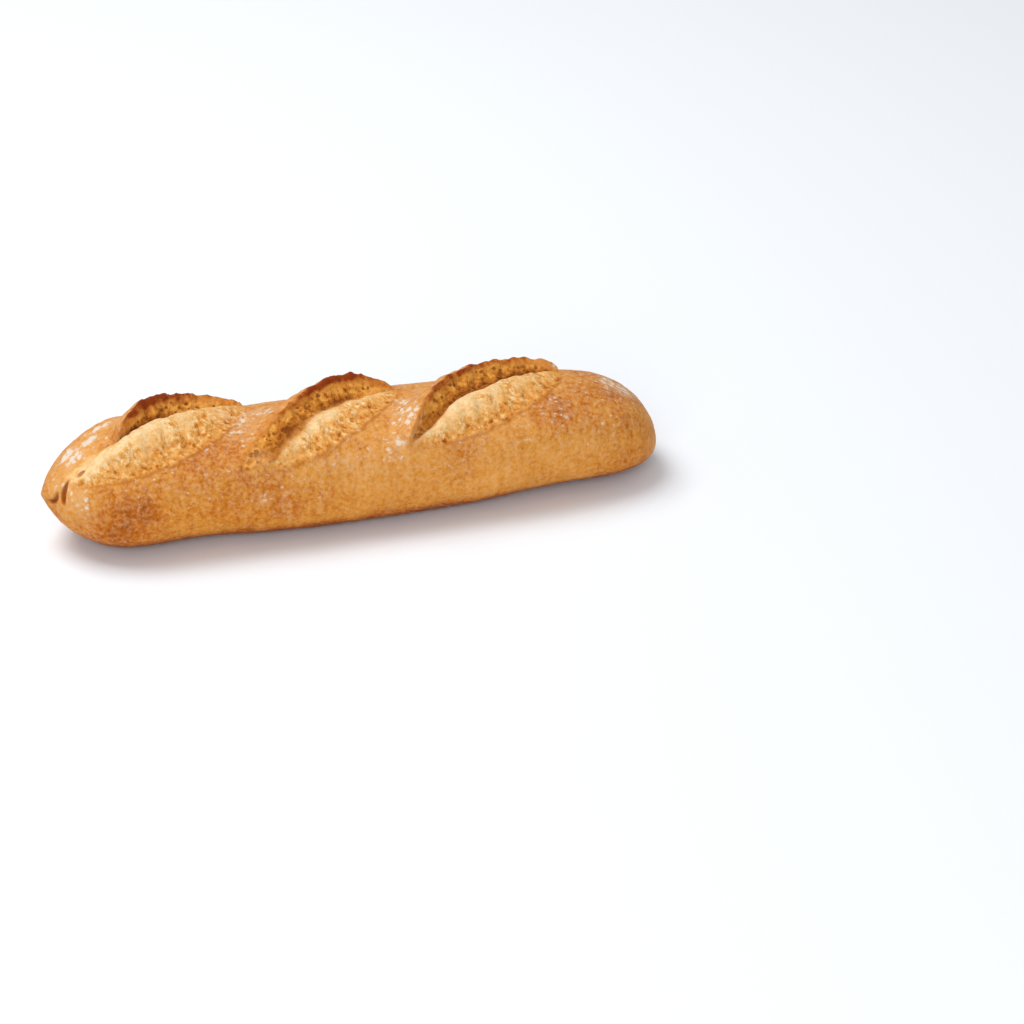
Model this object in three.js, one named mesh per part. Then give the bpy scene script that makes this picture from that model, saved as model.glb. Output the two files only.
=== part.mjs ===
// A mini baguette: one solid of bread, flat underneath, slashed three times across its top.
// Millimetres, +Z up. X runs along the loaf with the pinched tip at -X, and -Y is the front.
// The origin is on the table, under the middle of the loaf.
import * as THREE from "three";
import { mergeVertices } from "three/addons/utils/BufferGeometryUtils.js";

const { clamp, degToRad, lerp, smoothstep } = THREE.MathUtils;

// Driving dimensions of the loaf, before its slashes open
const LENGTH = 240;
const WIDTH = 58;
const CREST_HEIGHT = 40.4; // the top of the loaf between two slashes
const CORE_HEIGHT = 17.2; // the loaf is widest at this height
const UNDERSIDE_DEPTH = 20; // the round of the underside, measured down from the core
const TOP_ROUNDNESS = 2.5; // exponents of the section's upper and lower curves
const UNDERSIDE_ROUNDNESS = 2.2;
const FLOOR_ROUND = 2.5; // how softly the flank turns into the flat underside

// The two ends: how bluntly each one closes, and how high its point lies
const PINCHED_END = { bluntness: 8.9, closing: 1.19, pointHeight: 20.5 };
const ROUND_END = { bluntness: 6.1, closing: 2.25, pointHeight: 8.9 };

// Slow waves that make the crust uneven, each with its turns along the loaf and round it
const UNEVENNESS = 0.012; // share of the radius
const WAVE_REACH = 14; // how far along the loaf a wave turns by one radian
const CRUST_WAVES = [
  { along: 1, round: 2, phase: 0 },
  { along: 1.9, round: -3, phase: 2 },
  { along: -0.7, round: 5, phase: 4 },
];

// Places where the loaf draws in, or swells out where the depth is less than 0.
// An angle is measured from the crest, positive towards the back; a sharper dent is narrower round the loaf.
const DENTS = [
  { along: -63, angle: -2.2, reach: 22, sharpness: 6, depth: 2.6 },
  { along: 78, angle: -2.2, reach: 30.5, sharpness: 6, depth: 3.6 },
  { along: -91, angle: 0.4, reach: 15, sharpness: 8, depth: -4 },
];

// Slashes lie side by side at one angle to the loaf, and are placed along it and round its crust.
// Widths and reaches are across the slash; a lean, from -1 to 1, says which way a curve bulges more.
// A bloom holds a share of its height where it meets the wall, which stands behind the middle line.
const SLASH_ANGLE = degToRad(29);
const ROUND_RADIUS = 27; // turns an angle round the loaf into a distance over its crust
const SLASHES = [
  {
    along: -76, round: -3.5, halfLength: 41.8, phase: 0,
    nearWidth: 18, nearLean: 0.18, bloom: 5.4, hold: 0.45, wallFoot: 3.2, notch: 0, earFrom: -0.34,
    earReach: 11.4, reachLean: 0.1, earHeight: 10.3, heightLean: -0.36, earFullness: 0.45,
  },
  {
    along: -15.7, round: -7.8, halfLength: 40.7, phase: 2.1,
    nearWidth: 14.5, nearLean: 0.06, bloom: 2.1, hold: 0.9, wallFoot: 0.8, notch: 13, earFrom: -1,
    earReach: 11.4, reachLean: 0.12, earHeight: 9.6, heightLean: 0.45, earFullness: 0.98,
  },
  {
    along: 50, round: -7, halfLength: 39.6, phase: 4.4,
    nearWidth: 15.4, nearLean: 0.16, bloom: 3.7, hold: 0.45, wallFoot: 3.2, notch: 4, earFrom: -1,
    earReach: 14.1, reachLean: 0.02, earHeight: 7.8, heightLean: -0.12, earFullness: 0.26,
  },
];

// The section that all the slashes share, from the near lip over the bloom and up the torn wall to the ear
const LIP = 0.7; // the turned-up crust along a slash's near edge
const LIP_WIDTH = 1.2;
const BLOOM_LEAN = -0.05;
const BLOOM_LATENESS = 2.6; // draws the top of the bloom towards the wall
const BLOOM_FULLNESS = 0.7;
const LEAST_BLOOM = 0.6; // width that is left of the bloom at a slash's ends
const HOLD_FALL = 5; // over which the held height is gone behind the wall's foot
const WALL_HOLLOW = 1.5; // exponent of the wall's rise
const LEAST_WALL = 0.05;
const EDGE_FULLNESS = 0.8; // how soon the near edge parts from the middle line, less being sooner
const REACH_FULLNESS = 0.85; // how soon the ear's edge does
const NOTCH_SHARE = -0.75; // where the wall comes forward at a slash's front end
const NOTCH_WIDTH = 0.28;
const EAR_FALL = 11.7; // how far behind the ear its crust comes down to the loaf again
const EAR_FALL_START = 0.3; // share of that fall that starts in front of the ear's edge
const EAR_OVERHANG = 2;
const OVERHANG_LEAN = 0.1;
const FOOT_UNDERCUT = 1.2;
const SLIDE_WIDTH = 3; // over which the overhang and the undercut fade

// Torn edges run raggedly, and the crumb between them is lumpy
const FRAY = 0.5;
const EAR_FRAY = 0.06; // share of the ear's height
const FRAY_SHIFT = 1.3; // sets the near edge's waves apart from the ear's
const FRAY_WAVES = [
  { size: 11, part: 0.5 },
  { size: 6.1, part: 0.3 },
];
const CRUMB_LUMPS = 0.5;
const CRUMB_EDGE = 3; // over which the lumps fade at the edges of the crumb
const CRUMB_WAVES = [
  { way: 13, across: 9, phase: 0 },
  { way: -8, across: 11, phase: 2 },
  { way: 7, across: -30, phase: 4 },
];

// The pinched tip: a nub set off by a moat below its front, with a slot and a pit beside it
const TIP_FROM = -96; // the folds of the tip lie beyond here
const TIP_FADE = 8;
const TIP_INWARD = { x: 0.75, y: 0.66 }; // the way that the folds are pressed in
const NUB = { y: -5.5, z: 24, reachY: 3.9, reachZ: 3.4 };
const MOAT = { sideY: -0.8, sideZ: -0.6, width: 0.3, depth: 1.2 }; // the width is a share of the nub's reach
const SLOT = { y: -11.8, z: 26.2, halfWidth: 1, halfHeight: 3.6, lean: 0.34, depth: 1.8 };
const PIT = { y: -12.2, z: 33.7, radius: 1.2, depth: 1 };

// How finely the skin is faceted
const RINGS = 118;
const SPOKES = 50;
const TOP_DENSITY = 0.6; // draws the spokes closer together over the top
const PROFILE_STEPS = 2000; // for measuring the way over the skin
const WELD = 1e-3;

const CRUST_COLOUR = 0xcf8c40;
const CRUST_ROUGHNESS = 0.62;

// Falls from 1 at no distance to nearly 0 at two widths.
function bell(distance, width) {
  return Math.exp(-((distance / width) ** 2));
}

// Swells from 0 at shares of -1 and 1 to 1 between them, with its peak moved along by lean.
function swell(share, lean) {
  const open = Math.max(0, 1 - share * share);
  const leaning = share - lean * open;
  return open > 0 ? Math.max(0, 1 - leaning * leaning) : 0;
}

// Unevenness of the crust, between about -1 and 1. Whole turns round the loaf let it close on itself.
function unevenness(along, angle) {
  const waves = CRUST_WAVES.map((w) => Math.sin((w.along * along) / WAVE_REACH + w.round * angle + w.phase));
  return waves.reduce((sum, wave) => sum + wave, 0) / CRUST_WAVES.length;
}

// An uneven line along a torn edge, between about -1 and 1.
function ragged(way, phase) {
  const wave = ({ size, part }) => part * Math.sin((2 * Math.PI * way) / size + phase * size);
  return FRAY_WAVES.reduce((sum, w) => sum + wave(w), 0);
}

// Lumps of the crumb, between about -1 and 1.
function lumps(way, across) {
  const wave = (w) => Math.sin(2 * Math.PI * (way / w.way + across / w.across) + w.phase);
  return CRUMB_WAVES.reduce((sum, w) => sum + wave(w), 0) / CRUMB_WAVES.length;
}

// How full the loaf is at a share of its half length, from 1 in the middle to 0 at its points.
function fullness(share) {
  const end = share < 0 ? PINCHED_END : ROUND_END;
  return Math.max(0, 1 - Math.abs(share) ** end.bluntness) ** (1 / end.closing);
}

// Radius of the full section at an angle from the crest, positive towards the back.
function sectionRadius(angle) {
  const across = Math.abs(Math.sin(angle)) / (WIDTH / 2);
  const up = Math.cos(angle);
  const reach = up > 0 ? CREST_HEIGHT - CORE_HEIGHT : UNDERSIDE_DEPTH;
  const power = up > 0 ? TOP_ROUNDNESS : UNDERSIDE_ROUNDNESS;
  return (across ** power + (Math.abs(up) / reach) ** power) ** (-1 / power);
}

// The lines that a slash is drawn by at a distance along it, and how high its bloom and ear stand there.
function slashLines(slash, way) {
  const share = way / slash.halfLength;
  const earShare = (2 * share - 1 - slash.earFrom) / (1 - slash.earFrom);
  const middle = swell(share, 0);
  const torn = FRAY * ragged(way, slash.phase);
  const frayed = ragged(way, slash.phase + FRAY_SHIFT);

  const nearEdge = FRAY * frayed * middle - slash.nearWidth * swell(share, slash.nearLean) ** EDGE_FULLNESS;
  const base = slash.wallFoot * middle;
  const notch = slash.notch * bell(share - NOTCH_SHARE, NOTCH_WIDTH);
  const foot = Math.max(base + (torn / 2 - notch) * middle, nearEdge + LEAST_BLOOM);
  const reach = (slash.earReach - slash.wallFoot) * swell(earShare, slash.reachLean) ** REACH_FULLNESS;
  const earEdge = Math.max(base + reach + torn * swell(earShare, 0), foot + LEAST_WALL);
  const bloom = slash.bloom * swell(share, BLOOM_LEAN);
  const rising = swell(earShare, slash.heightLean) ** slash.earFullness;
  const ear = slash.earHeight * rising * (1 + EAR_FRAY * frayed);
  const overhang = EAR_OVERHANG * swell(earShare, OVERHANG_LEAN);
  return { middle, nearEdge, foot, earEdge, bloom, ear, overhang };
}

// How much of an ear is left at a share of its fall behind its edge.
function earFall(share) {
  return 1 - smoothstep(share, -EAR_FALL_START, 1);
}

// What one slash does to the crust at a place: how far it lifts it, and slides it across the slash.
function slashEffect(slash, along, round) {
  const dx = along - slash.along;
  const dr = round - slash.round;
  const way = dx * Math.cos(SLASH_ANGLE) + dr * Math.sin(SLASH_ANGLE);
  const across = dr * Math.cos(SLASH_ANGLE) - dx * Math.sin(SLASH_ANGLE);
  if (Math.abs(way) >= slash.halfLength) return { lift: 0, slide: 0 };

  const { middle, nearEdge, foot, earEdge, bloom, ear, overhang } = slashLines(slash, way);
  const lip = LIP * middle * bell(across - nearEdge, LIP_WIDTH);
  const late = clamp((across - nearEdge) / (foot - nearEdge), 0, 1) ** BLOOM_LATENESS;
  const swelling = (4 * late * (1 - late)) ** BLOOM_FULLNESS;
  const held = late > 1 / 2 ? lerp(slash.hold, 1, swelling) : swelling;
  const left = slash.hold * (1 - smoothstep(across, foot, Math.max(earEdge, foot + HOLD_FALL)));
  const climb = clamp((across - foot) / (earEdge - foot), 0, 1) ** WALL_HOLLOW;
  const fall = earFall((across - earEdge) / EAR_FALL) / earFall(0);
  const behindLip = smoothstep(across, nearEdge, nearEdge + CRUMB_EDGE);
  const underEar = 1 - smoothstep(across, earEdge - CRUMB_EDGE, earEdge);
  const crumb = CRUMB_LUMPS * middle * behindLip * underEar * lumps(way, across);
  const raised = bloom * (across <= foot ? held : left) + ear * (across <= earEdge ? climb : fall);
  const lift = lip + raised + crumb;
  const undercut = FOOT_UNDERCUT * middle * bell(across - foot, SLIDE_WIDTH);
  return { lift, slide: undercut - overhang * bell(across - earEdge, SLIDE_WIDTH) };
}

// The underside: level with the table where the loaf would sink below it, and rounded up to its flank.
function restOnTable(height) {
  if (height >= FLOOR_ROUND) return height;
  return height <= -FLOOR_ROUND ? 0 : (height + FLOOR_ROUND) ** 2 / (4 * FLOOR_ROUND);
}

// How deep the folds of the pinched tip are pressed in at a point of the skin.
function tipFolds({ x, y, z }) {
  const aside = (y - NUB.y) / NUB.reachY;
  const above = (z - NUB.z) / NUB.reachZ;
  const ring = Math.max(Math.hypot(aside, above), Number.EPSILON);
  const facing = clamp((MOAT.sideY * aside + MOAT.sideZ * above) / ring, 0, 1);
  const moat = MOAT.depth * facing * bell(ring - 1, MOAT.width);
  const slotLine = y - SLOT.y - SLOT.lean * (z - SLOT.z);
  const slot = SLOT.depth * bell(slotLine, SLOT.halfWidth) * bell(z - SLOT.z, SLOT.halfHeight);
  const pit = PIT.depth * bell(Math.hypot(y - PIT.y, z - PIT.z), PIT.radius);
  return (1 - smoothstep(x, TIP_FROM - TIP_FADE, TIP_FROM)) * (moat + slot + pit);
}

// How far the dents draw the loaf in.
function drawnIn(along, angle) {
  const facing = (dent) => ((1 + Math.cos(angle - dent.angle)) / 2) ** dent.sharpness;
  const press = (dent) => dent.depth * bell(along - dent.along, dent.reach) * facing(dent);
  return DENTS.reduce((sum, dent) => sum + press(dent), 0);
}

// A point of the skin, at a place along the loaf and an angle round it from the crest.
function skinPoint(along, angle) {
  let lift = -drawnIn(along, angle);
  let alongSlid = along;
  let roundSlid = angle * ROUND_RADIUS;
  const atPoint = fullness((2 * along) / LENGTH);
  for (const slash of SLASHES) {
    const effect = slashEffect(slash, along, angle * ROUND_RADIUS);
    lift += effect.lift;
    alongSlid -= atPoint * effect.slide * Math.sin(SLASH_ANGLE);
    roundSlid += atPoint * effect.slide * Math.cos(SLASH_ANGLE);
  }
  const share = clamp((2 * alongSlid) / LENGTH, -1, 1);
  const full = fullness(share);
  const turned = roundSlid / ROUND_RADIUS;
  const pointHeight = share < 0 ? PINCHED_END.pointHeight : ROUND_END.pointHeight;
  const radius = full * (sectionRadius(turned) * (1 + UNEVENNESS * unevenness(along, angle)) + lift);
  const height = lerp(pointHeight, CORE_HEIGHT, full) + radius * Math.cos(turned);
  const point = new THREE.Vector3(alongSlid, radius * Math.sin(turned), restOnTable(height));
  const fold = tipFolds(point);
  point.x += TIP_INWARD.x * fold;
  point.y += TIP_INWARD.y * fold;
  return point;
}

// Places along the loaf, evenly spaced over its skin so that its round ends are as smooth as its sides.
function evenStations(count) {
  const walked = [0];
  const place = (i) => LENGTH * (i / PROFILE_STEPS - 1 / 2);
  const profile = (i) => new THREE.Vector2(place(i), (fullness((2 * place(i)) / LENGTH) * WIDTH) / 2);
  for (let i = 1; i <= PROFILE_STEPS; i++) {
    walked.push(walked[i - 1] + profile(i).distanceTo(profile(i - 1)));
  }
  let i = 0;
  return Array.from({ length: count + 1 }, (_, k) => {
    const goal = (walked[PROFILE_STEPS] * k) / count;
    while (i < PROFILE_STEPS - 1 && walked[i + 1] < goal) i++;
    return place(i + (goal - walked[i]) / (walked[i + 1] - walked[i]));
  });
}

// The skin starts as a sphere with its poles at the loaf's points, and its corners move out to the crust.
function loafGeometry() {
  const sphere = new THREE.SphereGeometry(1, SPOKES, RINGS);
  const stations = evenStations(RINGS);
  const uv = sphere.getAttribute("uv");
  const position = sphere.getAttribute("position");
  for (let i = 0; i < position.count; i++) {
    const ring = Math.round((1 - uv.getY(i)) * RINGS);
    const turn = 2 * uv.getX(i) - 1;
    const angle = Math.PI * turn - TOP_DENSITY * Math.sin(Math.PI * turn);
    const point = skinPoint(stations[ring], angle);
    position.setXYZ(i, point.x, point.y, point.z);
  }
  sphere.deleteAttribute("normal");
  sphere.deleteAttribute("uv");
  const skin = mergeVertices(sphere, WELD);
  skin.computeVertexNormals();
  return skin;
}

const crust = new THREE.MeshStandardMaterial({ color: CRUST_COLOUR, roughness: CRUST_ROUGHNESS });
const loaf = new THREE.Mesh(loafGeometry(), crust);
loaf.name = "loaf";

const baguette = new THREE.Group();
baguette.add(loaf);

export default baguette;
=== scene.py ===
"""A mini baguette: one crusty loaf with three opened slashes, a pinched tip and a flat underside.

The loaf's form is worked out from the same named sizes as its solid, in millimetres, with +Z up,
the pinched tip at -X and the front at -Y, and is then given its crumb, crags and baked colours.
"""
import logging
import math
from dataclasses import dataclass, field
from enum import Enum
from typing import Any, Union

import bpy
import numpy as np
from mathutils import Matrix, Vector, noise

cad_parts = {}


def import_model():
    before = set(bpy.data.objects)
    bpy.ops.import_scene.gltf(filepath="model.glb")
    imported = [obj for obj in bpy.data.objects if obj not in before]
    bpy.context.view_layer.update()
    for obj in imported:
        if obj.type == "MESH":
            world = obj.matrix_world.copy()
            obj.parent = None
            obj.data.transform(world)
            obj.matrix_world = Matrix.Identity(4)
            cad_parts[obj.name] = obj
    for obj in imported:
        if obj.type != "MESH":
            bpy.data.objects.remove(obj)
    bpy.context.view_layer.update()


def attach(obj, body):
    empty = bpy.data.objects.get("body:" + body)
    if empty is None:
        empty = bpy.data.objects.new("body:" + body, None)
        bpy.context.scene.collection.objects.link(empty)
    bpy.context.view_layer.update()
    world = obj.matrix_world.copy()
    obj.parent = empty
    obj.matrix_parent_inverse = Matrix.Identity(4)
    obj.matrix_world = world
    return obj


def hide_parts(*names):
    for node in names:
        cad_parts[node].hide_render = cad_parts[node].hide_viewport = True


MM = 0.001
LOG = logging.getLogger("baguette")
SLASH_ANGLE = math.radians(29.0)

Array = np.ndarray
Colour = tuple[float, float, float, float]
Place = tuple[float, float, float]
Span = tuple[float, float]


def smoothstep(x: Array, low: Any, high: Any) -> Array:
    """Rises smoothly from 0 where x is low to 1 where x is high."""
    t = np.clip((x - low) / (high - low), 0.0, 1.0)
    return t * t * (3.0 - 2.0 * t)


def bell(distance: Array, width: float) -> Array:
    """Falls smoothly from 1 at no distance to nearly 0 at two widths."""
    return np.exp(-((distance / width) ** 2))


def baked(red: int, green: int, blue: int) -> Colour:
    """Turns a colour as it looks on a screen, 0 to 255, into the linear one that a shader takes.

    Args:
        red: The red part.
        green: The green part.
        blue: The blue part.

    Returns:
        The linear colour, with full alpha.
    """
    parts = [c / 255 for c in (red, green, blue)]
    linear = [c / 12.92 if c <= 0.04045 else ((c + 0.055) / 1.055) ** 2.4 for c in parts]
    return (linear[0], linear[1], linear[2], 1.0)


def deselect() -> None:
    """Leaves nothing selected."""
    bpy.ops.object.select_all(action="DESELECT")


class Zone(Enum):
    """A part of the crust with a relief or colour of its own, named as its vertex group and attribute."""

    CRUST = "crust"
    BLOOM = "bloom"
    RISE = "rise"
    WALL = "wall"
    CLIMB = "climb"
    EAR = "ear"
    LIP = "lip"
    # Painted shade along the wall's foot, under the ear.
    CREASE = "crease"
    FLOUR = "flour"
    TOAST = "toast"
    # Painted shade in the tip's groove, moat and pit.
    FOLD = "fold"
    RELIEF = "relief"
    TORN = "torn"
    BURN = "burn"


class Grain(Enum):
    """The texture that a layer of relief is pressed from."""

    LUMPS = "CLOUDS"
    PORES = "VORONOI"
    RIDGES = "MUSGRAVE"

    @property
    def level(self) -> float:
        """The part of the texture that leaves the crust where it is."""
        return 1.0 if self is Grain.PORES else 0.5


@dataclass(frozen=True)
class LoafEnd:
    """How one end of the loaf closes.

    Attributes:
        bluntness: How long the loaf stays full towards this end.
        closing: How roundly it then closes.
        point_height: Height of the end's point over the table, in mm.
    """

    bluntness: float
    closing: float
    point_height: float


@dataclass(frozen=True)
class Dent:
    """A place where the loaf draws in, or swells out where its depth is less than 0.

    Attributes:
        along: Where it is deepest along the loaf, in mm.
        angle: Where it is deepest round the loaf, in radians from the crest.
        reach: How far it reaches along the loaf, in mm.
        sharpness: How narrow it is round the loaf.
        depth: How deep it is, in mm.
    """

    along: float
    angle: float
    reach: float
    sharpness: int
    depth: float

    def press(self, along: Array, angle: Array) -> Array:
        """How far the loaf draws in, in mm."""
        facing = (1.0 + np.cos(angle - self.angle)) / 2
        return self.depth * bell(along - self.along, self.reach) * facing**self.sharpness


def swell(share: Array, lean: float) -> Array:
    """Swells from 0 at shares of -1 and 1 to 1 between them, with its peak moved along by lean."""
    leaning = share - lean * np.maximum(0.0, 1.0 - share * share)
    return np.where(np.abs(share) < 1.0, np.maximum(0.0, 1.0 - leaning * leaning), 0.0)


def ragged(place: Array, phase: float) -> Array:
    """Draws an uneven line along a torn edge: slow waves with small chips on them.

    Args:
        place: Places along the edge, in mm.
        phase: Sets one edge's line apart from another's, and seeds its chips.

    Returns:
        How far the line is off the edge, between about -1 and 1.
    """
    waves = ((11.0, 0.5), (6.1, 0.3))
    chip_length = 1.3
    chip_count = 200
    line = sum(part * np.sin(2 * np.pi * place / size + phase * size) for size, part in waves)
    chips = np.random.default_rng(round(100 * phase)).uniform(-0.5, 0.5, chip_count)
    return line + np.interp(place / chip_length, np.arange(chip_count) - chip_count // 2, chips)


@dataclass(frozen=True)
class Slash:
    """One opened slash, in mm along the loaf and round its top.

    Attributes:
        along: Where its middle lies along the loaf.
        round: Where its middle lies round the loaf, positive behind the crest.
        half_length: Half its length.
        near_width: How far its near edge lies in front of its middle line.
        near_lean: Which way that edge bulges more, from -1 to 1.
        bloom: How high the crumb swells between the near edge and the wall.
        hold: The share of that height that is left at the wall's foot.
        fold: How deep a fold runs along the front of its bloom.
        wall_foot: How far the wall stands behind the slash's middle line.
        notch: How far forward the wall's foot comes at the slash's front end.
        shade: How far the wall's painted shade reaches over the bloom.
        shade_at: The share of the slash where it reaches furthest.
        ear_from: The share of the slash where its ear starts.
        ear_reach: How far its ear's edge lies behind its middle line.
        reach_lean: Which way the ear's edge bulges more.
        ear_height: How high the ear stands over the loaf.
        height_lean: Which way the ear is higher.
        ear_fullness: How suddenly the ear rises at its ends, smaller being more sudden.
        phase: Sets the ragged edges of one slash apart from another's.
    """

    along: float
    round: float
    half_length: float
    near_width: float
    near_lean: float
    bloom: float
    hold: float
    fold: float
    wall_foot: float
    notch: float
    shade: float
    shade_at: float
    ear_from: float
    ear_reach: float
    reach_lean: float
    ear_height: float
    height_lean: float
    ear_fullness: float
    phase: float


@dataclass(frozen=True)
class SlashForm:
    """What all the slashes share, in mm and in shares of a slash, from -1 at its front end to 1.

    Attributes:
        angle: How far the slashes turn from the loaf's length, in radians.
        edge_fullness: How slowly the near edge closes at its ends, smaller being fuller.
        reach_fullness: The same for the ear's edge.
        fray: How ragged the torn edges are.
        fray_phase: Sets the raggedness of the near edge apart from the wall's.
        foot_fray: How ragged the wall's foot is.
        ear_fray: How uneven the ear's height is, as a share of it.
        scallop: How deep the near edge is scalloped.
        scallop_front: The share of that depth that lies in front of the edge.
        scallop_length: How long a scallop is.
        scallop_sway: How unevenly long the scallops are.
        notch_at: The share of the slash where its notch is deepest.
        notch_length: How long the notch is, as a share.
        least_bloom: The least width of the bloom.
        least_wall: The least width of the wall.
        lip: How high the crust curls up along the near edge.
        lip_width: How wide that lip is.
        bloom_lateness: How far behind the near edge the crumb swells.
        bloom_roundness: How roundly it swells, smaller being flatter on top.
        bloom_lean: Which way the bloom is higher.
        hold_fall: The least way behind the wall's foot over which the crumb's height is lost.
        climb_lateness: How hollow the wall is, 1 being straight.
        ear_fall: How far behind its edge an ear falls to the loaf.
        ear_fall_start: How far before its edge that fall starts, as a share of it.
        ear_overhang: How far the ear's edge leans forward over the wall.
        overhang_lean: Which way along the slash it leans more.
        foot_undercut: How far the wall's foot runs back under the ear.
        slide_width: How wide a strip of the crust leans or runs back.
        fold_at: Where a fold runs, as a share of the bloom's width.
        fold_slant: How far that changes from the middle of the slash to its end.
        fold_width: How wide a fold is.
        fold_start: The shares of the slash where a fold starts and where it is full.
        fold_end: The shares where it starts to fade and where it is gone.
        crumb_lumps: How high the crumb's lumps are.
        crumb_edge: How far from the lip and from the ear they are full.
        crumb_waves: Their waves' lengths along and across the slash, and their phases.
    """

    angle: float = SLASH_ANGLE
    edge_fullness: float = 0.8
    reach_fullness: float = 0.85
    fray: float = 0.5
    fray_phase: float = 1.3
    foot_fray: float = 0.25
    ear_fray: float = 0.06
    scallop: float = 0.3
    scallop_front: float = 0.6
    scallop_length: float = 5.2
    scallop_sway: float = 0.4
    notch_at: float = -0.75
    notch_length: float = 0.28
    least_bloom: float = 0.6
    least_wall: float = 0.05
    lip: float = 0.7
    lip_width: float = 1.2
    bloom_lateness: float = 2.6
    bloom_roundness: float = 0.7
    bloom_lean: float = -0.05
    hold_fall: float = 5.0
    climb_lateness: float = 1.5
    ear_fall: float = 11.7
    ear_fall_start: float = 0.3
    ear_overhang: float = 2.0
    overhang_lean: float = 0.1
    foot_undercut: float = 1.2
    slide_width: float = 3.0
    fold_at: float = 0.3
    fold_slant: float = 0.5
    fold_width: float = 1.0
    fold_start: Span = (-0.85, -0.6)
    fold_end: Span = (-0.1, 0.2)
    crumb_lumps: float = 0.5
    crumb_edge: float = 3.0
    crumb_waves: tuple[Place, ...] = ((13.0, 9.0, 0.0), (-8.0, 11.0, 2.0), (7.0, -30.0, 4.0))


@dataclass(frozen=True)
class SlashMarks:
    """Where the zones of a slash start and end. A span is two distances from an edge, or two shares.

    Attributes:
        opening: How far open a slash is, as a share, where its crumb first shows and shows fully.
        ear_opening: The same for its ear.
        front: The shares of a slash over which its front end fades.
        crumb_start: Where the crumb starts, from the near edge.
        spill: How far the crumb runs on over the crust where there is no ear.
        spill_fade: The share of that where it starts to fade.
        spill_end: How long before the ear it shortens, as a share of the slash.
        shade_length: How long the wall's painted shade over the bloom is, as a share of the slash.
        shade_soft: How soft that painted shade's edge is.
        held_soft: How fast it softens with the share that the bloom holds of its height, over a half.
        rise_fall: Where the crumb grows darker towards the wall, as painted shade, from the shade's edge.
        rise_lost: How much of its paleness goes there.
        back_fall: The shares of the slash where it grows darker towards the back end.
        back_lost: How much of its paleness goes there.
        wall_end: Where the wall ends, from the ear's edge.
        front_climb: How far up the wall its front end counts as.
        ear_start: Where the ear's rim starts, from its edge.
        ear_end: Where it ends.
        burn_height: How high an ear is that is fully burnt, in mm.
        burn_power: How much less a lower one is burnt.
        burn_start: Where the burning starts, as a share of the wall.
        front_unburnt: How much less the front end is burnt.
        lip_width: How wide the dark band under the lip is, and how far it lies before the near edge; it is
            partly toasted crust and partly painted shade.
        crease_shade_width: How wide the painted shade along the wall's foot is.
        crease_shade_depth: How dark that painted shade is where the bloom holds none of its height.
        crease_shade_start: Where it starts, from the ear's start, in shares.
    """

    opening: Span = (0.02, 0.3)
    ear_opening: Span = (0.0, 0.25)
    front: Span = (-0.9, -0.35)
    crumb_start: Span = (-2.5, 1.5)
    spill: float = 11.0
    spill_fade: float = 0.3
    spill_end: float = 0.25
    shade_length: float = 0.2
    shade_soft: float = 0.6
    held_soft: float = 4.0
    rise_fall: Span = (-2.0, 3.0)
    rise_lost: float = 0.4
    back_fall: Span = (-0.1, 0.6)
    back_lost: float = 0.3
    wall_end: Span = (-2.6, -0.8)
    # front_climb: How far up the wall its front end counts as, which makes its painted shade lighter there.
    front_climb: float = 0.6
    ear_start: Span = (-2.8, -1.0)
    ear_end: Span = (0.2, 1.2)
    burn_height: float = 8.8
    burn_power: float = 1.2
    burn_start: float = 0.4
    front_unburnt: float = 0.6
    lip_width: float = 0.7
    crease_shade_width: float = 0.55
    crease_shade_depth: float = 1.25
    crease_shade_start: Span = (-0.2, -0.05)


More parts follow.
